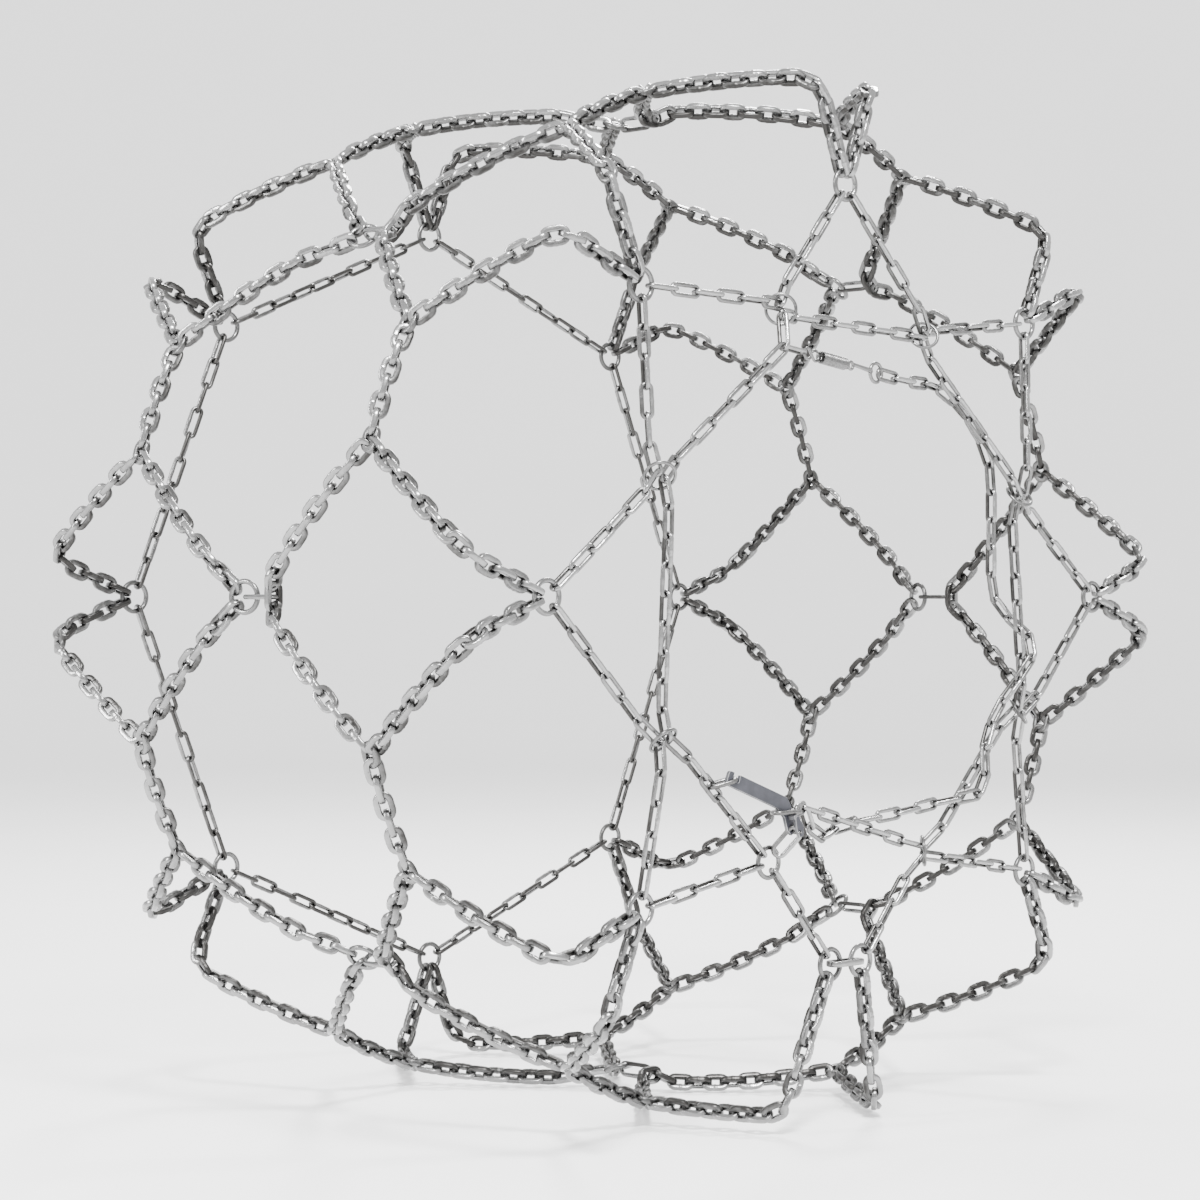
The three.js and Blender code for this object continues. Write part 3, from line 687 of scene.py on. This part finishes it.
def make_mid_links(k, steel, ring_steel):
    """Between the tires: a ring, the outer tire's cross link, and the long link that connects them."""
    angle = ring_angle(k)
    radial, across = polar(angle, 1, 0), polar(angle - 90, 1, 0)
    lean = math.radians(MID_RING["lean"])
    node = f"mid_link_{k}"
    ring = Shape()
    add_ring(ring, mid_center(k), radial * math.cos(lean) - Y * math.sin(lean), MID_RING)
    ring.piece(f"mid_ring_{k}", ring_steel, "net", "ring", node)
    cross_at, _ = on_tire(-TREAD_Y, 1, OUTER_GAP_REACH, angle)
    half = (MID_CROSS["length"] - 2 * MID_CROSS["wire"]) / 2
    cross = Shape()
    add_link(cross, cross_at - across * half, cross_at + across * half, radial, 90, MID_CROSS, weld=False)
    cross.piece(f"mid_cross_link_{k}", steel, "net", "ring", node)
    wire = LONG_LINK["wire"]
    near = cross_at[1]
    far = MID_Y - MID_RING["outer"] / 2 + MID_RING["wire"] + 5
    connector = Shape()
    start = polar(angle, CHAIN_RADIUS - MID_DROP, near + wire / 2)
    end = polar(angle, CHAIN_RADIUS - MID_DROP, far)
    add_link(connector, start, end, radial, 90, LONG_LINK)
    connector.piece(f"mid_connector_{k}", ring_steel, "net", "ring", node)


# ---- rings and side chains ----


def lean_at(angle):
    facing = polar(angle + 90, RING_LEAN["tangential"], -RING_LEAN["outward"])
    return unit(facing + polar(angle, RING_LEAN["radial"], 0))


def make_ring(name, facing, ring, steel):
    shape = Shape()
    add_ring(shape, center_of(name), facing, ring)
    shape.piece(f"{name}_round", steel, name, "ring", name)


def bearing(name, towards):
    """Where a chain bears on a leaning ring: towards the tread, or towards the rim."""
    facing, radial = lean_at(RING_ANGLES[name]), polar(RING_ANGLES[name], 1, 0)
    in_plane = unit(radial - facing * (radial @ facing))
    return center_of(f"tension_ring_{name}") + in_plane * GRIP * towards


def flat(points):
    return [(point, -Y) for point in points]


def weaving(start, end, sign):
    """A point one link along from start, moved along the axle so that the chain clears a ring's wire."""
    return start + unit(end - start) * LIGHT["pitch"] + Y * sign * WEAVE


def hooked(center, ring, towards):
    """Where a chain that comes from a point hooks into a ring, inside its wire."""
    return center + unit(towards - center) * (ring["outer"] / 2 - ring["wire"])


def twisted(count):
    """The extra twist that makes the last of a number of links stand like the first."""
    return 0 if count % 2 else 90


def make_side_chain(name, first_ring, second_ring, steel):
    """A V from one shoulder ring through a tension ring to the next shoulder ring."""
    apex = bearing(name, 1)
    first = hooked(center_of(first_ring), SHOULDER_RING, apex)
    second = hooked(center_of(second_ring), SHOULDER_RING, apex)
    front = flat([first, weaving(apex, first, -1), apex])
    back = flat([apex, weaving(apex, second, 1), second])
    lengths = [measured(leg)[2][-1] for leg in (front, back)]
    count = sum(round(length / LIGHT["pitch"]) for length in lengths)
    shape = Shape()
    half = twisted(count) / 2
    following = add_chain(shape, front, LIGHT, by_turns(half, lengths[0]))
    add_chain(shape, back, LIGHT, by_turns(half, lengths[1], half), following)
    node = f"side_chain_{name}"
    shape.piece(f"{node}_links", steel, "net", "side_chain", node)


def make_single_side_chain(node, shoulder, steel):
    ring_f = center_of("tension_ring_f")
    start = hooked(center_of(shoulder), SHOULDER_RING, ring_f)
    end = hooked(ring_f, HEAVY_TENSION_RING, center_of(shoulder))
    route = flat([start, end])
    length = measured(route)[2][-1]
    shape = Shape()
    add_chain(shape, route, LIGHT, by_turns(twisted(round(length / LIGHT["pitch"])), length))
    shape.piece(f"{node}_links", steel, "net", "side_chain", node)


# ---- tension chain, its spare end and the lever ----

RING_F = center_of("tension_ring_f")
TENSION_Y = RING_F[1]
PIVOT = RING_F + np.array([FROM_RING_F[0], -LEVER_LIFT, FROM_RING_F[1]])
LOCK_POINT = PIVOT + np.array([LOCK[0], LEVER_LIFT - LOCK[2], LOCK[1]])
PULLED_ASIDE = np.array([SPRING_JOINT[0], TENSION_Y - SPRING_JOINT[2], SPRING_JOINT[1]])


def curve_through(points, per_span=8):
    """A Catmull-Rom curve through points."""
    points = np.array(points, float)
    padded = np.concatenate([[2 * points[0] - points[1]], points, [2 * points[-1] - points[-2]]])
    line = []
    for i in range(len(points) - 1):
        a, b, c, d = padded[i: i + 4]
        for t in np.arange(per_span) / per_span:
            line.append(0.5 * (2 * b + (c - a) * t + (2 * a - 5 * b + 4 * c - d) * t**2
                               + (3 * b - a - 3 * c + d) * t**3))
    return [*line, points[-1]]


def keeper_ends():
    """The inner ends of the keeper link, which lies across the lever's neck."""
    middle = PIVOT + in_lever_plane(on_neck(KEEPER["height"], 0)) - X
    return middle - X * KEEPER["half"], middle + X * KEEPER["half"]


def make_tension_chain(steel):
    """The taut part, which the spring set pulls aside before ring a, and the spare end."""
    stops = [bearing(name, -1) for name in "ghabcde"]
    routes = [[hooked(RING_F, HEAVY_TENSION_RING, stops[0]), weaving(stops[0], RING_F, -1), stops[0]]]
    for i, name in enumerate("habcde"):
        start, end = stops[i], stops[i + 1]
        if name == "a":
            routes.append([start, weaving(start, PULLED_ASIDE, 1), PULLED_ASIDE])
            routes.append([PULLED_ASIDE, end])
        else:
            routes.append([start, weaving(start, end, 1), weaving(end, start, -1), end])
    routes.append([stops[-1], weaving(stops[-1], LOCK_POINT, 1), LOCK_POINT])
    taut, number = Shape(), 0
    for route in routes:
        number = add_chain(taut, flat(route), LIGHT, by_turns(), number)
    taut.piece("tension_chain_links", steel, "net", "side_chain", "tension_chain")
    spare = Shape()
    points = [(x, TENSION_Y + behind, z) for x, z, behind in SPARE_ROUTE]
    add_chain(spare, flat(curve_through([LOCK_POINT, *points])), LIGHT, by_turns())
    spare.piece("spare_end_links", steel, "net", "side_chain", "tension_chain")


def heading(angle):
    return np.array([math.cos(math.radians(angle)), math.sin(math.radians(angle))])


def on_neck(along, aside):
    """A point in the lever's plane, measured from the pin along the neck."""
    return heading(NECK["angle"]) * along + heading(NECK["angle"] - 90) * aside


def on_handle(along, aside):
    """A point in the lever's plane, measured from the bend along the handle."""
    bend = on_neck(NECK["length"], 0)
    return bend + heading(HANDLE["angle"]) * along + heading(HANDLE["angle"] - 90) * aside


def in_lever_plane(point, y=0.0):
    return np.array([point[0], y, point[1]])


def rounded(corners, steps=5):
    """Turns (point, radius) corners into an outline with round corners."""
    outline = []
    for i, (corner, radius) in enumerate(corners):
        before, after = corners[i - 1][0], corners[(i + 1) % len(corners)][0]
        a, b = unit(before - corner), unit(after - corner)
        half = math.acos(np.clip(a @ b, -1, 1)) / 2
        cut = radius / math.tan(half)
        start, end = corner + a * cut, corner + b * cut
        for t in np.linspace(0, 1, steps):
            outline.append(start * (1 - t) ** 2 + corner * 2 * t * (1 - t) + end * t**2)
    return outline


def make_plate(name, corners, y, thickness, steel, edge=0.7):
    """A flat plate in the lever's plane with eased edges."""
    outline = rounded(corners)
    mesh = bmesh.new()
    verts = [mesh.verts.new(Vector((PIVOT + in_lever_plane(p, y - thickness / 2)) * MM)) for p in outline]
    face = mesh.faces.new(verts)
    grown = bmesh.ops.extrude_face_region(mesh, geom=[face])["geom"]
    lifted = [item for item in grown if isinstance(item, bmesh.types.BMVert)]
    bmesh.ops.translate(mesh, verts=lifted, vec=Vector((0, thickness * MM, 0)))
    rims = [e for e in mesh.edges if len(e.link_faces) == 2 and e.calc_face_angle() > 1.2
            and abs(e.verts[0].co.y - e.verts[1].co.y) < thickness * MM / 2]
    bmesh.ops.bevel(mesh, geom=rims, offset=edge * MM, segments=3, profile=0.5, affect="EDGES")
    bmesh.ops.recalc_face_normals(mesh, faces=mesh.faces)
    bmesh.ops.triangulate(mesh, faces=[f for f in mesh.faces if len(f.verts) > 4])
    data = bpy.data.meshes.new(name)
    mesh.to_mesh(data)
    mesh.free()
    middle = (PIVOT[1] + y) * MM
    depth = np.array([abs(v.co.y - middle) for v in data.vertices])
    outer = 1 - np.clip((thickness / 2 * MM - depth) / (edge * MM), 0, 1) * 0.25
    flat_share = np.array([0.0 if v.normal.y**2 > 0.97 else 1.0 for v in data.vertices])
    attribute = data.attributes.new("rubbed", "FLOAT", "POINT")
    attribute.data.foreach_set("value", (outer * flat_share).astype(np.float32))
    for polygon in data.polygons:
        polygon.use_smooth = abs(polygon.normal.y) < 0.97
    data.materials.append(steel)
    return settle(bpy.data.objects.new(name, data), "lever", "lever", "lever")


def make_lever(steel, pin_steel):
    neck, half = NECK["width"] / 2, HANDLE["width"] / 2
    arm = [
        (on_neck(-4, -2), 1.5), (on_neck(6, 4), 2), (on_neck(18, neck - 1), 4),
        (on_neck(NECK["length"] - 3, neck - 1), 4), (on_handle(2, half), 6),
        (on_handle(SLOT["start"], half), 1), (on_handle(SLOT["start"], half - SLOT["depth"]), 2),
        (on_handle(SLOT["end"], half - SLOT["depth"]), 2), (on_handle(SLOT["end"], half), 1.5),
        (on_handle(HANDLE["length"] - 1, half), 3.5), (on_handle(HANDLE["length"], -half), 5),
        (on_handle(12, -half), 3), (on_neck(18, -neck), 4), (on_neck(4, -neck), 3),
    ]
    make_plate("lever_arm", arm, 0, LEVER_THICKNESS, steel)
    prong = [
        (on_neck(-6, -1), 2.5), (on_neck(-5, 5), 3), (on_neck(4, 8), 4), (on_neck(17, neck - 3), 3),
        (on_neck(17, -1), 2), (on_neck(4, -3), 4),
    ]
    make_plate("lever_prong", prong, -PRONG_GAP, PRONG_THICKNESS, steel)
    web = [
        (on_neck(18, neck - 2), 1.2), (on_neck(18, -2), 1.2), (on_neck(13.5, -2), 1.2),
        (on_neck(13.5, neck - 2), 1.2),
    ]
    make_plate("lever_web", web, -PRONG_GAP / 2, PRONG_GAP + 2, steel)
    pin = Shape()
    depths = np.linspace(LEVER_PIN["behind"], -PRONG_GAP - LEVER_PIN["in_front"], 6)
    add_tube(pin, [PIVOT + Y * depth for depth in depths], LEVER_PIN["wire"])
    pin.piece("lever_pin", pin_steel, "lever", "side_chain", "lever")


def make_lock_links(steel):
    """The links that hold the lever: at its neck, at its tip and at its fork."""
    keeper = Shape()
    add_link(keeper, *keeper_ends(), Z, 0, LONG_LINK)
    joining = {**LONG_LINK, "width": KEEPER["joining_width"]}
    add_link(keeper, keeper_ends()[1], LOCK_POINT, -Y, 10, joining)
    keeper.piece("keeper_link_round", steel, "keeper", "side_chain", "keeper_link")

    seat_place = on_handle((SLOT["start"] + SLOT["end"]) / 2, HANDLE["width"] / 2 - SLOT["depth"] + 3)
    seat = PIVOT + in_lever_plane(seat_place)
    chain_line = unit(bearing("g", -1) - RING_F)
    direction = polar(LATCH_ANGLE, 1, 0)
    across = unit(np.cross(chain_line, Y))
    reach = abs((seat - RING_F) @ across / (direction @ across))
    far = seat + direction * reach
    far[1] = TENSION_Y - 3
    inward = unit(far - seat) * LONG_LINK["wire"] / 2
    latch = Shape()
    add_link(latch, seat + inward, far - inward, np.cross(Y, direction), 0, LONG_LINK)
    latch.piece("latch_link_round", steel, "latch", "side_chain", "latch_link")

    pin_place = PIVOT - Y * PRONG_GAP / 2
    ring_wire = hooked(RING_F, HEAVY_TENSION_RING, pin_place)
    direction = unit(ring_wire - pin_place)
    fork = Shape()
    add_link(fork, pin_place - direction * 2.4, ring_wire - direction * 0.5, -Y, 35, LONG_LINK)
    fork.piece("fork_link_round", steel, "net", "side_chain", "fork_link")


# ---- spring set ----


def arc(center, radius, from_angle, to_angle, steps=16):
    turns = np.radians(np.linspace(from_angle, to_angle, steps))
    return [(center[0] + radius * math.cos(t), center[1] + radius * math.sin(t)) for t in turns]


def make_spring_set(steel):
    """Anchor link, S hook, coil spring and end hook, drawn along the line to the spare end."""
    x, z, behind = SPARE_ROUTE[-1]
    spare_end = np.array([x, TENSION_Y + behind, z])
    ahead = unit(spare_end - PULLED_ASIDE)
    rise = unit(np.cross(ahead, Y))
    rise *= np.sign(rise[2])

    def place(along, high=0.0, deep=0.0):
        return PULLED_ASIDE + ahead * along + rise * high + Y * deep

    anchor = Shape()
    anchor_end = ANCHOR["length"] - ANCHOR["wire"] * 2
    add_link(anchor, place(0), place(anchor_end), -Y, 80, ANCHOR)
    anchor.piece("anchor_link", steel, "spring_set", "spring", "s_hook")

    wire, middle = HOOK["wire"], anchor_end + HOOK["length"] / 2 - HOOK["wire"] / 2
    loop = (HOOK["width"] - wire) / 2
    reach = HOOK["length"] / 2 - wire - loop
    left, right = arc((-reach, 0), loop, 320, 50, 20), arc((reach, 0), loop, 230, 500, 20)
    hook = Shape()
    bends = [*left, (0, 0), *right]
    sides = np.linspace(-wire, wire, len(bends)) * 0.55
    add_tube(hook, curve_through([place(middle + a, b, c) for (a, b), c in zip(bends, sides)], 3), wire)
    hook.piece("s_hook_wire", steel, "spring_set", "spring", "s_hook")

    coil_start = middle + HOOK["length"] / 2 - wire * 0.5 + 1.5
    radius, length = (COIL["outer"] - COIL["wire"]) / 2, COIL["length"] - COIL["wire"]
    turns = np.arange(COIL["turns"] * 14 + 1) / 14
    helix = [place(coil_start + length * t / COIL["turns"], radius * math.cos(t * math.tau),
                   radius * math.sin(t * math.tau)) for t in turns]
    coil_end = coil_start + length
    coil = Shape()
    add_tube(coil, helix, COIL["wire"])
    for loop_at, start in ((coil_start - 3, 60), (coil_end + 4, 240)):
        eye = [place(a, b) for a, b in arc((loop_at, 0), COIL["eye"], start, start + 300, 22)]
        add_tube(coil, eye, COIL["wire"])
    coil.piece("spring_coil", steel, "spring_set", "spring", "spring")

    ring_radius = (END_RING["outer"] - END_RING["wire"]) / 2
    ring_at = np.linalg.norm(spare_end - PULLED_ASIDE) - ring_radius + END_RING["wire"]
    eye_at = coil_end + 10.5
    end_hook = Shape()
    eye = arc((eye_at, 0), END_EYE, 150, 480, 20)
    shank = [(eye_at + END_EYE, 2), (ring_at - ring_radius - 1, 1.5)]
    jaw = arc((ring_at, 0), ring_radius, 165, -35, 26)
    add_tube(end_hook, [place(a, b, -0.6) for a, b in eye], END_RING["wire"] * 0.8)
    lower = arc((ring_at, 0), ring_radius, 180, 302, 18)
    add_tube(end_hook, curve_through([place(a, b) for a, b in [*shank, *jaw]], 3), END_RING["wire"])
    add_tube(end_hook, curve_through([place(a, b) for a, b in [shank[0], *lower]], 3), END_RING["wire"])
    end_hook.piece("end_hook_round", steel, "end_hook", "spring", "end_hook")


# ---- the hidden side and the closing link ----


def make_hidden_side(steel, ring_steel):
    """The side chain on the far face of the inner tire, and the rings that its cross chains hook into."""
    chain, rings = Shape(), Shape()
    for k in range(1, SECTIONS + 1):
        center, following = hidden_ring(k), hidden_ring(k + 1)
        add_ring(rings, center, Y, SHOULDER_RING)
        start = hooked(center, SHOULDER_RING, following)
        end = hooked(following, SHOULDER_RING, center)
        route = [(start, Y), (end, Y)]
        length = np.linalg.norm(end - start)
        twist = twisted(round(length / LIGHT["pitch"]))
        add_chain(chain, route, LIGHT, by_turns(twist, length))
    chain.piece("hidden_side_links", steel, "net", "side_chain", "inner_side_chain")
    rings.piece("hidden_side_rings", ring_steel, "net", "ring", "inner_side_chain")


def make_closing_link(steel):
    middle = center_of("closing_link")
    half = (CLOSING_LINK["length"] - 2 * CLOSING_LINK["wire"]) / 2
    link = Shape()
    add_link(link, middle - X * half, middle + X * half, -Y, 90, CLOSING_LINK)
    link.piece("closing_link_square", steel, "closing_link", "tread_chain", "closing_link")


def make_net():
    tread = steel_with_wear_and_painted_light("worn_and_painted_light_tread_steel", 0.04, 0.29, 0.2)
    side = steel_with_wear_and_painted_light("side_chain_steel", 0.05, 0.31, 0.19)
    ring = steel_with_wear_and_painted_light("ring_steel", 0.04, 0.22, 0.22)
    spring = steel_with_wear_and_painted_light("spring_steel", 0.05, 0.3, 0.2)
    for k in range(1, SECTIONS + 1):
        make_section(k, "outer", -TREAD_Y, outer_diagonal, gap_diagonal, tread)
        make_section(k, "inner", TREAD_Y, lambda r, f, left: hidden_diagonal(r, f), inner_gap_diagonal, tread)
        make_mid_links(k, tread, ring)
    for name in ("1", "2", "3", "4", "5_left", "5_right", "6", "7", "8"):
        make_ring(f"shoulder_ring_{name}", -Y, SHOULDER_RING, ring)
    for name, angle in RING_ANGLES.items():
        make_ring(f"tension_ring_{name}", lean_at(angle), TENSION_RING, ring)
    make_ring("tension_ring_f", -Y, HEAVY_TENSION_RING, ring)
    ends = {"a": "81", "b": "12", "c": "23", "d": "34", "g": "67", "h": "78"}
    for name, (first, second) in ends.items():
        make_side_chain(name, f"shoulder_ring_{first}", f"shoulder_ring_{second}", side)
    make_side_chain("e", "shoulder_ring_4", "shoulder_ring_5_right", side)
    make_single_side_chain("side_chain_f_left", "shoulder_ring_6", side)
    make_single_side_chain("side_chain_f_right", "shoulder_ring_5_left", side)
    make_tension_chain(side)
    make_lever(coated_steel("lever_slate"), side)
    make_lock_links(side)
    make_spring_set(spring)
    make_closing_link(tread)
    make_hidden_side(side, ring)


make_camera()
make_stage(cad_low.z - FLOOR_GAP * MM)
make_lights()
make_net()
